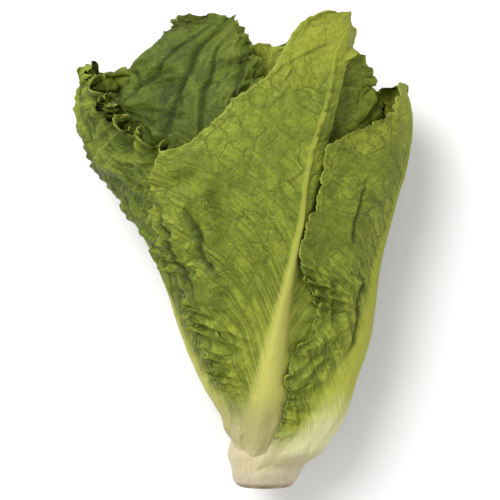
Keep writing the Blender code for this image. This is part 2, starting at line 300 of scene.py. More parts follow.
    def _margins(self):
        """Distance in from the nearest margin, and how far along that margin."""
        row = self.height[:, :1]
        sides = []
        for edge in (self.q[:, :1], self.q[:, -1:]):
            slope = np.gradient(blurred_row(edge[:, 0], 8), row[:, 0])[:, None]
            lean = np.arctan(slope)
            steps = np.hypot(np.diff(edge[:, 0]), np.diff(row[:, 0]))
            along = np.concatenate([[0], np.cumsum(steps)])[:, None]
            gap = np.abs(self.q - edge)
            sides.append((gap * np.cos(lean), along + gap * np.abs(np.sin(lean))))
        nearer = sides[0][0] < sides[1][0]
        distance = np.where(nearer, sides[0][0], sides[1][0])
        top = self.tip - self.height
        along = np.where(nearer, sides[0][1], 0.7 + sides[1][1])
        return np.minimum(distance, top + 0.0004), along


def cast_out(tree, turns, heights):
    """Distances from the axis to a leaf's inner and outer side, nan where it isn't met."""
    inner = np.full(turns.shape, np.nan)
    outer = inner.copy()
    for index in np.ndindex(turns.shape):
        turn, height = turns[index], heights[index]
        side, up = axis_at(height)
        start = Vector((side, height + CUT_FACE, up))
        aim = Vector((math.cos(turn), 0, math.sin(turn)))
        hit = tree.ray_cast(start, aim)
        if hit[0] is None:
            continue
        inner[index] = hit[3]
        second = tree.ray_cast(hit[0] + aim * 1e-5, aim)
        outer[index] = hit[3] + (second[3] if second[0] is not None else 0.001)
    return inner, outer


def filled(grid):
    """Gaps take the value of their nearest neighbours."""
    grid = grid.copy()
    while np.isnan(grid).any():
        padded = np.pad(grid, 1, mode="edge")
        parts = np.stack([padded[:-2, 1:-1], padded[2:, 1:-1], padded[1:-1, :-2], padded[1:-1, 2:]])
        count = (~np.isnan(parts)).sum(axis=0)
        mean = np.nansum(parts, axis=0) / np.maximum(count, 1)
        grid = np.where(np.isnan(grid) & (count > 0), mean, grid)
    return grid


# ---------------------------------------------------------------- leaves


class Style:
    """How one leaf is finished. Sizes are in metres."""

    def __init__(self, **given):
        self.rows, self.columns = 200, 170
        self.slot = "outer_leaf"
        self.rib_width, self.rib_height = 0.024, 0.0042  # at the foot
        self.rib_fade = 0.7  # share of the leaf's length where the rib has become a thin line
        self.vein_gap = 0.011  # from one side vein to the next, along the leaf
        self.vein_rise = 0.0005
        self.blister, self.blister_size = 0.0009, 0.011
        self.crumple, self.crumple_size = 0.0015, 0.028
        self.ruffle, self.ruffle_gap = 0.003, 0.016
        self.ruffle_depth = 0.011  # how far in from the margin the ruffle reaches
        self.teeth = 0.0013
        self.grow = 0.0  # extra blade past the margin
        self.lobes = 1.3  # how deep the margin's lobes are beside its teeth
        self.frill = None  # a function of the sheet that makes the ruffle stronger in places
        self.even = None  # a function of the sheet that makes the teeth smaller in places
        self.stand = 0.012  # how far a ruffle may stand off the head
        self.rough = None  # a function of the sheet, 1 where the blade is crumpled up
        self.trim = None  # a function of t that narrows the two sides of the blade
        self.swell, self.swell_length = 0.0, 1.0  # how far the rib bulges out above the foot
        self.flute = 0.10  # how deep the rib's flutes are, as a share of its height
        self.seen_inside = 0.2  # how much of the relief stays where other leaves cover it
        self.rough_rise = 0.0030  # how high the folds are where the blade is crumpled up
        self.tip_round = 0.02  # the length over which the tip is rounded
        self.seed = 1
        self.features = ()  # single creases and folds, each a function of the sheet that gives their rise and their painted shade
        self.__dict__.update(given)


def rib_half(style, t):
    """Half the rib's width, which narrows from foot to tip."""
    thin = THIN_RIB * (1 - 0.6 * t)
    return 0.5 * (thin + (style.rib_width - THIN_RIB) * (1 - ease(t / style.rib_fade)) ** 1.6)


def vein_place(sheet, style):
    """A number that is whole on each side vein. Low down the veins lean along the rib, and they fan out
    higher up."""
    lean = 2.6 - 1.8 * ease(sheet.t / 0.9)
    reach = np.abs(sheet.q)
    bend = reach * lean * (1 - 0.25 * ease(reach / 0.09))
    wander = 0.003 * noise(sheet.q / 0.02, sheet.l / 0.03, style.seed + 3)
    return (sheet.l - bend + wander) / style.vein_gap + np.where(sheet.q < 0, 0.0, 0.5)


def relief(sheet, style):
    """How far each place of the blade stands out from the plain leaf, and its vein numbers."""
    q, l, t, m = sheet.q, sheet.l, sheet.t, sheet.margin
    seed = style.seed
    off_rib = ease((np.abs(q) - 0.8 * rib_half(style, t)) / 0.014)
    blade = off_rib * ease((t - 0.04) / 0.22)
    vein = vein_place(sheet, style)
    nearest = np.abs(vein - np.round(vein))
    ridge = np.exp(-((nearest / 0.085) ** 2)) * (0.5 + 0.5 * hashed(np.round(vein), 0, seed))
    fade = ease(m / 0.012) * (0.35 + 0.65 * (1 - np.clip(np.abs(q) / 0.09, 0, 1)))
    height = style.vein_rise * ridge * fade * blade
    away = np.abs(q) / 0.03
    comb = noise(vein * 3.3, away, seed + 30) + 0.6 * noise(vein * 6.1, away, seed + 31)
    height = height + 0.00022 * comb * blade
    x, y = q / style.blister_size, vein * style.vein_gap / style.blister_size / 1.5
    x = x + 0.45 * noise(q / 0.013, l / 0.013, seed + 1)
    y = y + 0.45 * noise(q / 0.013, l / 0.013, seed + 2)
    puff = np.sqrt(np.clip(cells(x, y, seed), 0, 1)) - 0.45
    small = np.sqrt(np.clip(cells(x * 2.3, y * 2.3, seed + 9), 0, 1)) - 0.45
    patchy = 0.6 + 0.6 * noise(q / 0.045, l / 0.045, seed + 8)
    height = height + style.blister * patchy * (puff + 0.5 * small) * blade
    bent = 0.5 * noise(q / 0.03, l / 0.03, seed + 14)
    a, b = q / style.crumple_size + bent, l / style.crumple_size / 1.5 + bent
    crumple = rough_noise(a, b, seed + 4)
    fold = 0.5 - np.abs(noise(a * 1.3 + 7, b * 1.3, seed + 6)) ** 0.8
    crease = 0.5 - np.abs(noise(a * 2.6 + 3, b * 2.2, seed + 7)) ** 0.7
    height = height + style.crumple * (0.5 * crumple + 0.7 * fold + 0.35 * crease) * blade
    # dip is low in the hollows and high on the crests; the material paints shade and highlight from it.
    dip = puff + 0.6 * fold + 0.4 * crease
    rough = style.rough(sheet) * off_rib if style.rough else 0 * q
    a = q / 0.013 + 0.9 * noise(q / 0.019, l / 0.019, seed + 50)
    b = l / 0.016 + 0.9 * noise(q / 0.017, l / 0.017, seed + 51)
    crest = [0.5 - np.abs(noise(a * k, b * k, seed + 52 + i)) ** 0.75 for i, k in enumerate((1, 1.9, 3.7))]
    height = height + style.rough_rise * rough * (crest[0] + 0.55 * crest[1] + 0.28 * crest[2])
    dip = dip * (1 - 0.5 * rough) + rough * (0.9 * crest[0] + 0.9 * crest[1] + 0.6 * crest[2])
    return height, vein, dip, ridge * fade, rough


def ruffled(sheet, style):
    """The wave of the margin: outwards, along the margin and across it."""
    gap, seed = style.ruffle_gap, style.seed
    flat = 0 * sheet.margin
    warp = sheet.along / gap + 0.9 * noise(sheet.along / gap / 1.7, sheet.margin / 0.03, seed + 11)
    near = np.exp(-((sheet.margin / style.ruffle_depth) ** 1.3))
    closer = np.exp(-((sheet.margin / (0.5 * style.ruffle_depth)) ** 1.3))
    size = 0.6 + 0.5 * noise(sheet.along / 0.04, flat, seed + 12)
    size = size * ease((sheet.t - 0.08) / 0.2) * style.ruffle
    if style.frill:
        size = size * style.frill(sheet)
    turn = 2 * math.pi * warp
    quick = turn * 2.63 + 3 * noise(sheet.along / gap, flat, seed + 13)
    out = size * (near * np.sin(turn) + 0.75 * closer * np.sin(quick) + 0.45 * near)
    swing = size * (0.5 * near * np.cos(turn) + 0.5 * closer * np.cos(quick))
    reach = size * closer * (0.34 * np.cos(2 * turn) + 0.24 * np.sin(quick * 1.3))
    return out, swing, reach


def tooth_reach(sheet, style):
    """Small sharp teeth and shallow lobes along the margin."""
    a = sheet.along
    teeth = np.abs((a / 0.0058 + 1.3 * noise(a / 0.011, 0 * a, style.seed + 20)) % 1 - 0.5) * 2
    sizes = 0.35 + 0.65 * hashed(np.floor(a / 0.009), 0, style.seed + 22)
    lobes = rough_noise(a / 0.02, 0 * a, style.seed + 21)
    return style.teeth * (1.3 * (teeth - 0.5) * sizes + style.lobes * lobes) * ease((sheet.t - 0.1) / 0.15)


def line_from(sheet, start, end):
    """How far right of a line each place is, and how far along it from 0 to 1. The line's ends are given
    as (share of the reach, share of the length)."""

    def spot(s, t):
        row = int(round(t * (sheet.t.shape[0] - 1)))
        return np.interp(s, sheet.s[row], sheet.q[row]), np.interp(s, sheet.s[row], sheet.l[row])

    a, b = np.array(spot(*start)), np.array(spot(*end))
    run = b - a
    size = np.hypot(*run)
    x, y = sheet.q - a[0], sheet.l - a[1]
    wander = 0.0022 * noise(sheet.q / 0.012, sheet.l / 0.012, 41)
    return (x * run[1] - y * run[0]) / size + wander, (x * run[0] + y * run[1]) / size**2


def groove(start, end, depth, width):
    """A sharp valley between two raised sides, with painted shade along its bottom. It fades at both ends."""

    def rise(sheet):
        off, along = line_from(sheet, start, end)
        ends = ease((along + 0.1) / 0.3) * ease((1.1 - along) / 0.3)
        valley = np.exp(-((np.abs(off) / width) ** 1.3))
        raised = np.exp(-np.abs(off) / (4 * width))
        return depth * ends * (raised - valley), ends * np.exp(-((off / (0.8 * width)) ** 2))

    return rise


def frilled_edge(sheet):
    """The left leaf's spread side: a jagged frill along its outermost line, and a deep fold inwards of it
    with painted shade along its bottom.
    """
    side = place_of(sheet.turn, sheet.height, sheet.inner)[..., 0]
    row = np.arange(side.shape[0])
    line = blurred_row(sheet.q[row, side.argmin(axis=1)], 12)[:, None]
    off = sheet.q - line
    zone = ease((sheet.height - 0.150) / 0.03) * (1 - ease((sheet.height - 0.232) / 0.02))
    jag = 0.55 + 0.5 * noise(sheet.l / 0.007, 0 * sheet.l, 61)
    jag = jag + 0.35 * noise(sheet.l / 0.0028, 0 * sheet.l, 62)
    frill = 0.0062 * np.clip(jag, 0.1, 1.4) * np.exp(-np.abs(off / 0.0042) ** 1.3)
    bend = 0.003 * noise(sheet.l / 0.02, 0 * sheet.l, 63)
    near = np.minimum(np.abs(off - 0.012 - bend), np.abs(off + 0.012 - bend))
    lower = 1 - ease((sheet.height - 0.20) / 0.02)
    fold = 0.0045 * (np.exp(-near / 0.008) - np.exp(-((near / 0.0020) ** 1.3))) * lower
    return zone * (frill + fold), zone * lower * np.exp(-((near / 0.0016) ** 2))


def overlap(start, end, height, width, spread):
    """A pleat: the blade rises to a line from its left and drops off sharply to its right, with a thin line
    of painted shade at the foot of the drop.
    """

    def rise(sheet):
        off, along = line_from(sheet, start, end)
        ends = ease((along + 0.15) / 0.35) * ease((1.15 - along) / 0.35)
        left = np.exp(-np.clip(-off, 0, None) / spread)
        fall = 1 - ease(off / width)
        line = np.exp(-(((off - width) / 0.001) ** 2))
        return height * ends * np.where(off < 0, left, fall), 0.22 * ends * line

    return rise


# How far out the finished leaves reach, in steps round the head and along it.
STEPS_ROUND, STEPS_UP = 360, 301
taken = np.zeros((STEPS_UP, STEPS_ROUND))


def cell_of(turn, height):
    x = np.rint(turn / (2 * math.pi) * STEPS_ROUND).astype(int) % STEPS_ROUND
    y = np.clip(np.rint(height / LENGTH * (STEPS_UP - 1)).astype(int), 0, STEPS_UP - 1)
    return y, x


def eased_over(turn, height, inner):
    """How far a leaf has to move out to clear the leaves that it covers."""
    short = np.clip(taken[cell_of(turn, height)] + CLEAR - inner, 0, 0.02)
    grown = short
    for _ in range(2):
        padded = np.pad(grown, 1, mode="edge")
        upright = [padded[1:-1, 1:-1], padded[:-2, 1:-1], padded[2:, 1:-1]]
        grown = np.maximum.reduce([*upright, padded[1:-1, :-2], padded[1:-1, 2:]])
    return np.maximum(blurred(grown, 6), short)


def claim(turn, height, outer):
    y, x = cell_of(turn, height)
    np.maximum.at(taken, (y.ravel(), x.ravel()), outer.ravel())


def grid_object(name, outer, inner, layers):
    """A closed leaf from its two sides: a grid, given thickness, with its points then set in place."""
    rows, columns = outer.shape[:2]
    bpy.ops.object.select_all(action="DESELECT")
    bpy.ops.mesh.primitive_grid_add(x_subdivisions=columns - 1, y_subdivisions=rows - 1, size=0.2)
    obj = bpy.context.object
    obj.name = name
    solid = obj.modifiers.new("thickness", "SOLIDIFY")
    solid.thickness = 0.001
    bpy.ops.object.modifier_apply(modifier=solid.name)
    mesh = obj.data
    points = np.concatenate([outer.reshape(-1, 3), inner.reshape(-1, 3)])
    mesh.vertices.foreach_set("co", points.astype(np.float32).ravel())
    for layer, values in layers.items():
        attribute = mesh.attributes.new(layer, "FLOAT_VECTOR", "POINT")
        values = np.stack([np.broadcast_to(v, (rows, columns)) for v in values], axis=-1).reshape(-1, 3)
        attribute.data.foreach_set("vector", np.concatenate([values, values]).astype(np.float32).ravel())
    mesh.update()
    bpy.ops.object.mode_set(mode="EDIT")
    bpy.ops.mesh.select_all(action="SELECT")
    bpy.ops.mesh.normals_make_consistent(inside=False)
    bpy.ops.object.mode_set(mode="OBJECT")
    bpy.ops.object.shade_smooth()
    return obj


def make_leaf(node, style):
    sheet = Sheet(node, style.rows, style.columns, style.tip_round)
    if style.trim:
        sheet.narrow(style.trim)
    open_air = 0.2 + 0.8 * ease((sheet.open - 0.3) / 0.5)
    open_air = np.maximum(open_air, 0.2 + (style.seen_inside - 0.2) * ease((sheet.t - 0.45) / 0.2))
    bump, vein, dip, ridge, rough = relief(sheet, style)
    out, swing, frill = ruffled(sheet, style)
    out = np.where(out > 0, style.stand * np.tanh(out / style.stand), out)
    rise = open_air * (bump + out)
    shade = 0 * sheet.q
    for feature in style.features:
        lift, dark = feature(sheet)
        rise, shade = rise + lift, np.maximum(shade, dark)
    half = rib_half(style, sheet.t)
    rib = style.rib_height * (1 - sheet.t) ** 1.3 + 0.0006
    bulge = np.clip(1 - (sheet.q / half) ** 2, 0, 1) ** 1.1
    flank = 0.30 * np.exp(-((sheet.q / (1.9 * half)) ** 2))
    rib = rib * (0.70 * bulge + flank) * ease((sheet.t + 0.012) / 0.08) * ease((1 - sheet.t) / 0.16)
    # The rib's flesh has shallow lengthwise flutes, more of them by the foot.
    flutes = noise(sheet.q / 0.0035, sheet.l / 0.12, style.seed + 40)
    flutes = flutes + 0.5 * noise(sheet.q / 0.0016, sheet.l / 0.08, 44)
    rib = rib * (1 + style.flute * flutes)
    swell = ease(sheet.t / 0.055) * (1 - ease((sheet.t - 0.10) / (0.16 * style.swell_length)))
    rise = rise + style.swell * swell * np.exp(-((sheet.q / 0.024) ** 2))
    turn, height, inner = sheet.turn, sheet.height, sheet.inner + rise
    # Teeth push the margin out across the leaf, and the ruffle swings it along.
    edge = np.exp(-((sheet.margin / 0.004) ** 1.2))
    side = np.where(sheet.s < 0, 1, -1)
    teeth = tooth_reach(sheet, style) * (style.even(sheet) if style.even else 1)
    reach = teeth * edge + open_air * frill + style.grow * np.exp(-sheet.margin / 0.006)
    top = ease(1 - (sheet.tip - sheet.height) / 0.02)
    turn = turn + side * reach * (1 - 0.7 * top) / sheet.inner
    height = height + reach * (0.25 + 0.6 * top) + open_air * swing * side
    # The last stretch is drawn in a little, so that a tip stays close to the CAD's.
    height = height - 0.2 * np.maximum(height - LENGTH + 0.016, 0)
    height = np.clip(height, sheet.foot, LENGTH + 0.004)
    inner = inner + eased_over(turn, height, inner)
    outer = inner + BLADE + rib
    claim(turn, height, outer)
    # The foot's very end dips in towards the stem, and nothing goes below the floor.
    sink = 0.0014 * (1 - ease(sheet.t / 0.025))
    inside, outside = place_of(turn, height, inner - sink), place_of(turn, height, outer - sink)
    outside[..., 2] = np.maximum(outside[..., 2], 0.0)
    inside[..., 2] = np.maximum(inside[..., 2], 0.0006)
    # mark: the painted shade of the creases and folds, the height above the cut face, and how open the place
    # is.
    layers = {
        "place": (sheet.q, sheet.l, sheet.margin),
        "vein": (vein, dip, ridge),
        "tone": (sheet.t + 0 * sheet.q, np.clip(1 - np.abs(sheet.q) / half, -1, 1), rough),
        "mark": (shade, sheet.height, sheet.open),
    }
    obj = grid_object(node + "_leaf", outside, inside, layers)
    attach(obj, "root")
    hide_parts(node)
    obj.data.materials.append(leaf_material(node + "_finish", style))


# ---------------------------------------------------------------- materials


class Wire:
    """A node output that takes plain arithmetic."""

    def __init__(self, tree, socket):
        self.tree, self.socket = tree, socket

    def node(self, kind, settings=None, out=0, **values):
        made = self.tree.nodes.new(kind)
        for key, value in (settings or {}).items():
            setattr(made, key, value)
        for key, value in values.items():
            key = int(key[1:]) if key[1:].isdigit() else key.replace("_", " ")
            if isinstance(value, Wire):
                self.tree.links.new(value.socket, made.inputs[key])
            else:
                made.inputs[key].default_value = value
        return Wire(self.tree, made.outputs[out])

    def math(self, operation, *others):
        named = {f"i{k}": value for k, value in enumerate((self, *others))}
        return self.node("ShaderNodeMath", {"operation": operation}, **named)

    def __add__(self, other):
        return self.math("ADD", other)

    def __sub__(self, other):
        return self.math("SUBTRACT", other)

    def __mul__(self, other):
        return self.math("MULTIPLY", other)

    def __pow__(self, other):
        return self.math("POWER", other)

    def __neg__(self):
        return self * -1.0

    def __rsub__(self, other):
        return -self + other

    __radd__, __rmul__ = __add__, __mul__

    def ramp(self, low, high):
        """0 below low, 1 above high, smooth between."""
        smooth = {"interpolation_type": "SMOOTHSTEP"}
        return self.node("ShaderNodeMapRange", smooth, Value=self, From_Min=low, From_Max=high)

    def mix(self, low, high):
        """low where this is 0 and high where it is 1; colours."""
        low, high = ((*c, 1) if isinstance(c, tuple) else c for c in (low, high))
        return self.node("ShaderNodeMix", {"data_type": "RGBA"}, out=2, i0=self, i6=low, i7=high)

    def split(self):
        made = self.node("ShaderNodeSeparateXYZ", Vector=self)
        return [Wire(self.tree, made.socket.node.outputs[k]) for k in range(3)]


def attribute(tree, name):
    made = tree.nodes.new("ShaderNodeAttribute")
    made.attribute_name = name
    return Wire(tree, made.outputs["Vector"])


def blank_material(name, roughness):
    material = bpy.data.materials.new(name)
    material.use_nodes = True
    shader = material.node_tree.nodes["Principled BSDF"]
    shader.inputs["Roughness"].default_value = roughness
    return material, material.node_tree, shader


def leaf_material(name, style):
    material, tree, shader = blank_material(name, 0.42)
    q, l, m = attribute(tree, "place").split()
    vein, dip, ridge = attribute(tree, "vein").split()
    t, rib, rough = attribute(tree, "tone").split()
    shade, up, _ = attribute(tree, "mark").split()
    seed = float(style.seed)

    def noise_at(x, y, scale, detail=3.0):
        where = t.node("ShaderNodeCombineXYZ", X=x, Y=y, Z=seed)
        return t.node("ShaderNodeTexNoise", {}, Vector=where, Scale=scale, Detail=detail, Roughness=0.6)

    fine = noise_at(q, l, 420.0)
    speck = noise_at(q, l, 1100.0, 2.0)
    broad = noise_at(q, l, 30.0)
    patch = noise_at(q, l, 105.0, 2.0)
    comb = noise_at(vein * 3.2, q * 26.0, 1.0, 2.0)
    comb_fine = noise_at(vein * 7.0, q * 55.0, 1.0, 3.0)
    # The net of small veins, in vein numbers across and along.
    to_line = {"feature": "DISTANCE_TO_EDGE"}
    wander = (noise_at(q, l, 90.0, 2.0) - 0.5) * 0.9
    net_at = t.node("ShaderNodeCombineXYZ", X=q * 62.0 + wander, Y=vein * 0.62 + wander, Z=seed)
    net = t.node("ShaderNodeTexVoronoi", to_line, Vector=net_at, Scale=1.0, Randomness=0.95)
    line = 1.0 - net.ramp(0.0, 0.045)
    small_at = t.node("ShaderNodeCombineXYZ", X=q * 190.0 + wander * 2.0, Y=vein * 1.9 + wander * 2.0, Z=4.0)
    small = t.node("ShaderNodeTexVoronoi", to_line, Vector=small_at, Scale=1.0, Randomness=1.0)
    small_line = 1.0 - small.ramp(0.0, 0.12)
    away = (1.0 - rib).ramp(0.9, 1.6)
    upper = t.ramp(0.22, 0.5)
    broken = broad.ramp(0.32, 0.55)

    # The green, with painted shade in the hollows and painted highlight on the crests, and the deepest
    # painted shade in the crevices of the crumpled parts.
    green = broad.ramp(0.35, 0.66).mix(style.green[0], style.green[1])
    green = (patch.ramp(0.42, 0.70) * 0.7).mix(green, style.green[2])
    low = 1.0 - dip.ramp(-0.42, 0.32)
    green = (low * (rough * 0.45 + style.dip)).ramp(0.0, 1.0).mix(green, style.green[2])
    high = dip.ramp(0.25, 0.9)
    green = (high * (rough * 0.45 + 0.3)).mix(green, style.high)
    deep = (1.0 - dip.ramp(-0.85, -0.10)) * rough
    green = (deep * 0.75).mix(green, style.deep)
    streaks = (1.0 - comb.ramp(0.42, 0.60)) * (1.0 - t.ramp(0.45, 0.95)) * away
    green = (streaks * 0.65).mix(green, style.green[2])
    combed = comb_fine.ramp(0.50, 0.66) * (1.0 - t.ramp(0.5, 0.9)) * away
    green = (combed * broad.ramp(0.35, 0.6) * 0.45).mix(green, style.high)
    pale = (t.ramp(0.78, 0.96) * style.tip_pale).mix(green, style.tip)
    # Pale feathery strokes spread from the rib into the blade.
    near_rib = ((1.0 - (q * q) ** 0.5 * 24.0) * (1.0 - t.ramp(0.1, style.strokes))).ramp(0.0, 1.0)
    stroke = comb.ramp(0.44, 0.60) * 0.55 + comb_fine.ramp(0.45, 0.62) * 0.5
    colour = (near_rib * (stroke + 0.12)).ramp(0.0, 1.0).mix(pale, style.near_rib)
    # The pale foot, and the lines of the veins.
    fade = up + (comb - 0.5) * 0.022 + (comb_fine - 0.5) * 0.016
    foot = 1.0 - fade.ramp(0.019, style.foot_reach)
    colour = foot.mix(colour, FOOT)
    netted = style.net * (1.0 - t.ramp(0.80, 0.90) * style.tip_pale * 0.8)
    colour = (line * away * upper * broken * netted).mix(colour, style.net_colour)
    colour = (small_line * away * upper * 0.14).mix(colour, style.net_colour)
    tint = ridge.ramp(0.25, 0.85) * style.vein_tint * away * t.ramp(0.08, 0.3)
    colour = tint.mix(colour, style.vein_colour)
    # The rib, from the pale foot to the green line.
    on_rib = (rib + (comb_fine - 0.5) * 0.5 + (comb - 0.5) * 0.35).ramp(-0.25, 0.6)
    rib_colour = fade.ramp(0.018, 0.030).mix(FOOT, style.rib[0])
    rib_colour = fade.ramp(0.032, 0.068).mix(rib_colour, style.rib[1])
    rib_colour = t.ramp(0.20, 0.65).mix(rib_colour, style.rib[2])
    streak = noise_at(q * 9.0, l * 0.5, 90.0, 2.0)
    rib_colour = (streak.ramp(0.45, 0.75) * 0.35 * t.ramp(0.02, 0.12)).mix(rib_colour, style.near_rib)
    colour = (on_rib * style.rib_show * (1.0 - t.ramp(0.72, 0.98))).mix(colour, rib_colour)
    # The margin, the grain and the painted shade of the creases and folds.
    rim = 1.0 - m.ramp(0.0002, 0.0015)
    colour = (rim * 0.55 * t.ramp(0.05, 0.2)).mix(colour, style.rim)
    leafy = away * (1.0 - foot)
    colour = (fine.ramp(0.40, 0.72) * 0.38 * leafy).mix(colour, style.green[2])
    colour = (speck.ramp(0.45, 0.65) * 0.28 * leafy).mix(colour, style.high)
    colour = (shade * 0.9).mix(colour, style.deep)
    tree.links.new(colour.socket, shader.inputs["Base Color"])
    tree.links.new((fine * 0.2 + 0.46).socket, shader.inputs["Roughness"])
    shader.inputs["Specular IOR Level"].default_value = 0.14
    height = (0.0 - line * 0.4 * broken - small_line * 0.2) * away * upper + fine * (rough * 0.5 + 0.3)
    height = height + patch * (rough * 1.2 + 0.6) + comb * 0.8 * away + comb_fine * 0.3
    bump = t.node("ShaderNodeBump", {}, Strength=0.6, Distance=0.0012, Height=height)
    tree.links.new(bump.socket, shader.inputs["Normal"])
    return material


# green: two that blend in broad patches, and a dark one, also used for the painted shade in the hollows. rib:
# by the foot, above it, and higher up.
FOOT = (0.47, 0.42, 0.235)
OUTER = dict(
    green=((0.155, 0.195, 0.018), (0.225, 0.270, 0.026), (0.072, 0.098, 0.010)),
    # high: the painted highlight on the crests, also the colour of pale grain and combed streaks. deep: the
    # painted shade in crevices and creases. dip: how strongly the hollows get painted shade.
    high=(0.27, 0.31, 0.034), deep=(0.028, 0.040, 0.006), dip=0.5, strokes=0.75,
    tip=(0.27, 0.30, 0.032), tip_pale=0.85,
    near_rib=(0.30, 0.325, 0.045), foot_reach=0.066,
    net=0.7, net_colour=(0.052, 0.074, 0.009),
    vein_tint=0.2, vein_colour=(0.26, 0.30, 0.045),
    rib=((0.35, 0.32, 0.135), (0.43, 0.415, 0.098), (0.225, 0.25, 0.030)), rib_show=1.0,
    rim=(0.30, 0.34, 0.06),
)
LEFT = dict(
    OUTER,
    green=((0.115, 0.152, 0.014), (0.170, 0.212, 0.020), (0.045, 0.066, 0.007)),
    high=(0.21, 0.25, 0.028), dip=0.6,
    net=0.3, net_colour=(0.05, 0.075, 0.008), vein_tint=0.6, vein_colour=(0.27, 0.30, 0.06), tip_pale=0.1,
)
SHADED = dict(
    LEFT,
    green=((0.115, 0.152, 0.015), (0.170, 0.212, 0.021), (0.046, 0.066, 0.007)), vein_tint=0.3,
)
# The leaves deep inside the head: darker copies of the left leaf's colours, as painted shade.
SHADED_DEEP = dict(
    LEFT,
    green=((0.070, 0.098, 0.010), (0.105, 0.138, 0.014), (0.028, 0.042, 0.005)),
    high=(0.14, 0.17, 0.020), vein_tint=0.3, vein_colour=(0.17, 0.20, 0.04),
    near_rib=(0.15, 0.18, 0.025), rib=((0.47, 0.42, 0.235), (0.36, 0.37, 0.08), (0.14, 0.17, 0.024)),
    rim=(0.20, 0.23, 0.04),
)
HEART = dict(
    OUTER,
    green=((0.26, 0.30, 0.045), (0.34, 0.38, 0.07), (0.18, 0.23, 0.025)), net_colour=(0.16, 0.20, 0.025),
    high=(0.36, 0.40, 0.07),
)


def front_low_left(sheet):
    return ease((-sheet.q - 0.008) / 0.02) * (1 - ease((sheet.t - 0.52) / 0.14))


def front_even(sheet):
    return 1 - 0.65 * ease((sheet.t - 0.72) / 0.12) - 0.2 * (sheet.q > 0) * ease((sheet.t - 0.5) / 0.1)


def front_frill(sheet):
    quiet = np.where(sheet.q > 0, 0.85 * ease((sheet.t - 0.5) / 0.1), 0.6 * ease((sheet.t - 0.78) / 0.1))
    return (0.5 + 1.1 * front_low_left(sheet)) * (1 - quiet)


def front_rough(sheet):
    near_edge = 1 - ease((sheet.margin - 0.007) / 0.022)
    return 0.06 + front_low_left(sheet) * near_edge * ease((sheet.t - 0.05) / 0.06)


def front_trim(t):
    """The tip is a rounded lobe, and the right side is rolled under behind the rib below it."""
    left = np.interp(t, (0.72, 0.80, 0.84, 0.92, 0.96, 1.0), (1.0, 0.98, 0.80, 0.76, 0.86, 0.86))
    share = (0.50, 0.66, 0.80, 0.87, 0.92, 0.96, 0.985, 1.0)
    right = np.interp(t, share, (1.0, 0.60, 0.34, 0.26, 0.56, 0.66, 0.40, 0.05))
    return left, right


def front_lift(sheet):
    """The left margin stands up off the leaf below it."""
    zone = ease((sheet.t - 0.22) / 0.08) * (1 - ease((sheet.t - 0.58) / 0.08)) * (sheet.q < 0)
    wave = 0.7 + 0.5 * noise(sheet.along / 0.018, 0 * sheet.along, 71)
    return 0.0036 * zone * wave * np.exp(-sheet.margin / 0.006), 0 * sheet.q


def right_low_left(sheet):
    return ease((-sheet.q - 0.003) / 0.012) * (1 - ease((sheet.t - 0.48) / 0.1))


def right_frill(sheet):
    return 0.45 + 0.95 * right_low_left(sheet)


def right_rough(sheet):
    return 0.12 + 0.9 * right_low_left(sheet) * ease((sheet.t - 0.05) / 0.06)


def left_rough(sheet):
    return ease((sheet.t - 0.12) / 0.35)


def even_rough(sheet):
    return 0.75 + 0 * sheet.q


FINE = dict(rows=300, columns=160)


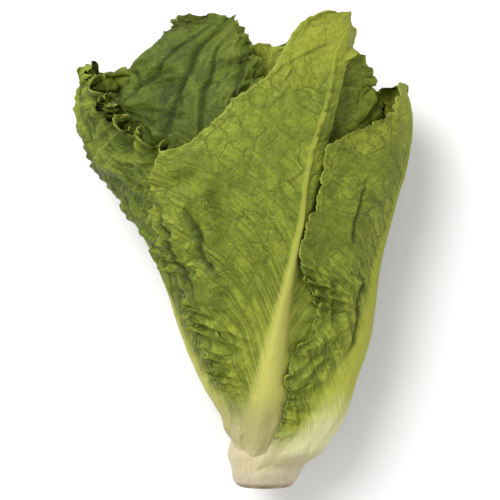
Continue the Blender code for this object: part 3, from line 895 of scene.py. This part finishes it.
def style_for(node):
    seed = 1 + sorted(NODES).index(node) * 3
    if node == "outer_leaf_front":
        return Style(
            seed=seed, rib_width=0.027, rib_height=0.0052, blister=0.0010, crumple=0.0014, ruffle=0.0040,
            tip_round=0.036, frill=front_frill, even=front_even, rough=front_rough, trim=front_trim,
            rough_rise=0.0036, ruffle_gap=0.013, grow=0.002,
            features=(
                front_lift,
                groove((-0.80, 0.56), (-0.66, 0.41), 0.0064, 0.0026),
                groove((-0.97, 0.57), (-0.86, 0.36), 0.0040, 0.0019),
                overlap((-0.98, 0.845), (-0.14, 0.925), 0.0012, 0.002, 0.02),
            ),
            **FINE, **OUTER,
        )
    if node == "outer_leaf_right":
        look = dict(
            OUTER,
            rib=((0.60, 0.58, 0.31), (0.36, 0.37, 0.048), (0.245, 0.275, 0.034)),
            foot_reach=0.042, strokes=1.6,
        )
        return Style(
            seed=seed, rib_width=0.036, rib_height=0.0062, rib_fade=0.9, blister=0.0013, crumple=0.0018,
            ruffle=0.0044, stand=0.0026, frill=right_frill, rough=right_rough, swell=0.0070, lobes=2.6,
            features=(
                groove((-0.47, 0.75), (-0.44, 0.58), 0.0030, 0.0012),
                groove((-0.25, 0.52), (-0.2, 0.3), 0.003, 0.002),
            ),
            **FINE, **look,
        )
    if node == "outer_leaf_left":
        return Style(
            seed=seed, rib_width=0.036, blister=0.0014, crumple=0.0034, crumple_size=0.022, ruffle=0.0050,
            vein_rise=0.0009, teeth=0.0018,
            rough=left_rough, rough_rise=0.0042, features=(frilled_edge,), swell=0.0035, swell_length=2.5,
            seen_inside=0.6, grow=0.0045, **FINE, **LEFT,
        )
    if node == "outer_leaf_back":
        return Style(seed=seed, rows=240, columns=130, blister=0.0011, crumple=0.0018, **OUTER)
    if node == "upper_leaf_left":
        look = dict(
            SHADED_DEEP,
            green=((0.062, 0.092, 0.009), (0.10, 0.135, 0.013), (0.022, 0.034, 0.004)), rib_show=0.25,
        )
        return Style(
            seed=seed, rows=230, columns=140, rib_width=0.016, rib_height=0.0012, blister=0.0008,
            crumple=0.0042, crumple_size=0.022, ruffle=0.0050, teeth=0.002, lobes=2.4, vein_rise=0.0006,
            rough=even_rough, rough_rise=0.0055, seen_inside=0.9,
            features=(
                groove((-0.25, 0.97), (-0.80, 0.74), 0.0050, 0.0018),
                groove((0.10, 0.98), (-0.45, 0.62), 0.0050, 0.0020),
                groove((0.45, 0.95), (-0.05, 0.60), 0.0040, 0.0016),
                groove((0.80, 0.90), (0.35, 0.66), 0.0045, 0.0018),
            ),
            **look,
        )
    if node.startswith(("upper", "lower")):
        look = SHADED if node == "upper_leaf_right" else SHADED_DEEP
        return Style(
            seed=seed, rows=220, columns=140, rib_width=0.019, blister=0.0010, crumple=0.0030,
            ruffle=0.0046, rough=even_rough, rough_rise=0.0034, seen_inside=0.7, **look,
        )
    if node.startswith("middle"):
        return Style(
            seed=seed, rows=150, columns=110, rib_width=0.015, rib_height=0.003, slot="middle_leaf", **OUTER,
        )
    if node.startswith("inner"):
        return Style(
            seed=seed, rows=130, columns=96, rib_width=0.012, rib_height=0.0026, slot="middle_leaf", **OUTER,
        )
    return Style(
        seed=seed, rows=110, columns=80, rib_width=0.009, rib_height=0.002, ruffle=0.002,
        slot="heart_leaf", **HEART,
    )


def nesting_order():
    """Leaf names from the heart outwards."""
    names = [f"heart_bud_{k}" for k in (2, 1)] + [f"heart_leaf_{k}" for k in (4, 3, 2, 1)]
    names += [f"inner_leaf_{k}" for k in (4, 3, 2, 1)] + [f"middle_leaf_{k}" for k in (4, 3, 2, 1)]
    names += ["lower_leaf_right", "upper_leaf_left", "lower_leaf_left", "upper_leaf_right"]
    return names + ["outer_leaf_back", "outer_leaf_left", "outer_leaf_front", "outer_leaf_right"]


# ---------------------------------------------------------------- stem


def claim_stem():
    points, _, tree = SOLIDS["stem"]
    top = points[:, 1].max() - CUT_FACE
    level = np.linspace(0.0005, top - 0.001, 120)[:, None]
    turn = np.linspace(0, 2 * math.pi, 20, endpoint=False)[None, :] + 0 * level
    reading, _ = cast_out(tree, turn, level + 0 * turn)
    radius = filled(reading).mean(axis=1)
    every = np.linspace(0, 2 * math.pi, STEPS_ROUND, endpoint=False)[None, :] + 0 * level
    claim(every, level + 0 * every, radius[:, None] + 0 * every)
    return level[:, 0], radius


def cover(turn, level):
    """The outermost leaf at each place, smoothed round the head."""
    near = sum(taken[cell_of(turn + side * 0.02, level)] for side in (-2, -1, 0, 1, 2)) / 5
    for _ in range(8):
        near = (np.roll(near, 1, 1) + 2 * near + np.roll(near, -1, 1)) / 4
    return near


def make_butt(level_read, radius_read):
    """The cut butt. It runs up into the leaves' feet, and its top edge slips under them."""
    rows, columns = 110, 220
    turn = np.linspace(0, 2 * math.pi, columns, endpoint=False)[None, :]
    steps = np.linspace(0.006, 0.034, 57)[:, None]
    leafy = cover(turn + 0 * steps, steps + 0 * turn) > np.interp(steps, level_read, radius_read) + 0.0012
    start = steps[leafy.argmax(axis=0), 0][None, :]
    full = blurred(np.vstack([start] * 3), 40, True)[1:2] + 0.0025  # where it reaches the leaves' outsides
    edge = full + 0.011  # where it ends beneath them
    share = (np.linspace(0, 1, rows) ** 1.25)[:, None]
    tall, turn = share * edge, turn + 0 * share
    bare = np.interp(0.008, level_read, radius_read) + 0.0018
    top = cover(turn, np.maximum(tall, full))
    top = np.vstack([top[:1]] * 6 + [top])
    top = blurred(top, 60, True)[6:]
    body = bare + (top - bare) * ease((tall - 0.004) / (full - 0.004))
    body = body - 0.0036 * ease((tall - full) / (edge - full))
    # It is fuller on the left.
    left = np.exp(-(((turn - math.pi) / 0.75) ** 2)) * np.exp(-(((tall - 0.022) / 0.008) ** 2))
    body = body + 0.0050 * left
    rounded = 0.010  # how far up the cut edge is rounded
    lower = np.clip(tall / rounded, 0, 1)
    body = body * (1 - 0.36 * (1 - np.sqrt(1 - (1 - lower) ** 2)))
    wobble = 0.0007 * noise(np.cos(turn) * 2 + 9, np.sin(turn) * 2 + 9, 5)
    wobble = wobble + 0.0003 * noise(turn * 9, tall * 120, 6)
    shell = place_of(turn, tall, body + wobble)
    bpy.ops.object.select_all(action="DESELECT")
    bpy.ops.mesh.primitive_cylinder_add(vertices=columns, radius=1, depth=1, end_fill_type="NGON")
    obj = bpy.context.object
    obj.name = "stem_butt"
    bpy.ops.object.mode_set(mode="EDIT")
    bm = bmesh.from_edit_mesh(obj.data)
    bmesh.ops.delete(bm, geom=list(bm.verts), context="VERTS")
    loops = [[bm.verts.new(p) for p in ring_points] for ring_points in shell]
    # The cut face: rings inwards, dished a little.
    inward = [loops[0]]
    centre = shell[0].mean(axis=0)
    for k in range(1, 26):
        share = 1 - k / 26
        points = centre + (shell[0] - centre) * share
        dish = 0.0006 * (1 - share**2) + 0.0003 * noise(points[:, 0] / 0.004, points[:, 2] / 0.004, 8)
        points[:, 1] = shell[0][:, 1] + dish
        inward.append([bm.verts.new(p) for p in points])
    for low, high in list(zip(loops, loops[1:])) + list(zip(inward, inward[1:])):
        for k in range(columns):
            bm.faces.new((low[k - 1], low[k], high[k], high[k - 1]))
    bm.faces.new(inward[-1])
    bm.faces.new(loops[-1])
    bmesh.ops.recalc_face_normals(bm, faces=bm.faces)
    bmesh.update_edit_mesh(obj.data)
    bpy.ops.object.mode_set(mode="OBJECT")
    bpy.ops.object.shade_smooth()
    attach(obj, "root")
    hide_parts("stem")
    obj.data.materials.append(stem_material())


def stem_material():
    material, tree, shader = blank_material("stem_finish", 0.5)
    made = tree.nodes.new("ShaderNodeTexCoord")
    where = Wire(tree, made.outputs["Object"])
    x, y, z = where.split()
    up = y - CUT_FACE
    blot = where.node("ShaderNodeTexNoise", {}, Vector=where, Scale=170.0, Detail=4.0)
    broad = where.node("ShaderNodeTexNoise", {}, Vector=where, Scale=60.0, Detail=3.0)
    colour = up.ramp(0.004, 0.018).mix((0.45, 0.385, 0.25), FOOT)
    colour = (broad.ramp(0.4, 0.7) * 0.5).mix(colour, (0.44, 0.36, 0.23))
    colour = (blot.ramp(0.5, 0.75) * 0.35).mix(colour, (0.36, 0.29, 0.15))
    # Pale lengthwise streaks in the flesh, partly its own grain and partly painted highlight.
    along = where.node("ShaderNodeCombineXYZ", X=x * 5.0, Y=y, Z=z * 5.0)
    streak = where.node("ShaderNodeTexNoise", {}, Vector=along, Scale=110.0, Detail=3.0)
    colour = (streak.ramp(0.52, 0.72) * 0.5).mix(colour, (0.56, 0.50, 0.37))
    colour = ((1.0 - streak.ramp(0.28, 0.44)) * 0.35).mix(colour, (0.33, 0.27, 0.13))
    rim = 1.0 - up.ramp(0.0014, 0.0040)
    colour = (rim * (blot.ramp(0.3, 0.6) * 0.3 + 0.65)).mix(colour, (0.19, 0.105, 0.035))
    band = 1.0 - ((up - 0.020) ** 2.0 * 9000.0).ramp(0.0, 1.0)
    bruise = band * (0.0 - x).ramp(0.005, 0.019) * blot.ramp(0.4, 0.6)
    colour = (bruise * 0.5).mix(colour, (0.30, 0.20, 0.07))
    tree.links.new(colour.socket, shader.inputs["Base Color"])
    bump = where.node("ShaderNodeBump", {}, Strength=0.4, Distance=0.001, Height=blot + streak * 0.6)
    tree.links.new(bump.socket, shader.inputs["Normal"])
    return material


# ---------------------------------------------------------------- the set


def make_floor():
    bpy.ops.object.select_all(action="DESELECT")
    bpy.ops.mesh.primitive_plane_add(size=6, location=(0, 0, -0.0002))
    floor = bpy.context.object
    floor.name = "floor"
    material, _, shader = blank_material("floor_finish", 0.9)
    shader.inputs["Base Color"].default_value = (0.88, 0.88, 0.88, 1)
    shader.inputs["Specular IOR Level"].default_value = 0.0
    floor.data.materials.append(material)


def area_light(name, place, size, power):
    bpy.ops.object.light_add(type="AREA", location=place)
    lamp = bpy.context.object
    lamp.name = name
    lamp.data.shape = "DISK"
    lamp.data.size = size
    lamp.data.energy = power
    lamp.rotation_euler = (Vector((0, 0, 0.03)) - Vector(place)).to_track_quat("-Z", "Y").to_euler()


def light_and_camera():
    area_light("key", (-0.66, 0.70, 1.20), 1.2, 28.5)
    area_light("fill", (0.9, -0.5, 1.0), 0.9, 4)
    world = bpy.data.worlds.new("studio")
    world.use_nodes = True
    world.node_tree.nodes["Background"].inputs["Color"].default_value = (1, 1, 1, 1)
    world.node_tree.nodes["Background"].inputs["Strength"].default_value = 0.60
    bpy.context.scene.world = world
    distance, middle = 1.55, 0.055  # up from the floor to the camera, and to the head's middle
    bpy.ops.object.camera_add(location=(0.0032, -0.0003, distance), rotation=(0, 0, 0))
    camera = bpy.context.object
    seen = LENGTH * 1.042  # the side of the square in view
    camera.data.lens = 36 * (distance - middle) / seen
    camera.data.dof.use_dof = False
    bpy.context.scene.camera = camera
    bpy.context.scene.view_settings.view_transform = "Standard"


stem_profile = claim_stem()
for leaf_name in nesting_order():
    make_leaf(leaf_name, style_for(leaf_name))
make_butt(*stem_profile)
make_floor()
light_and_camera()
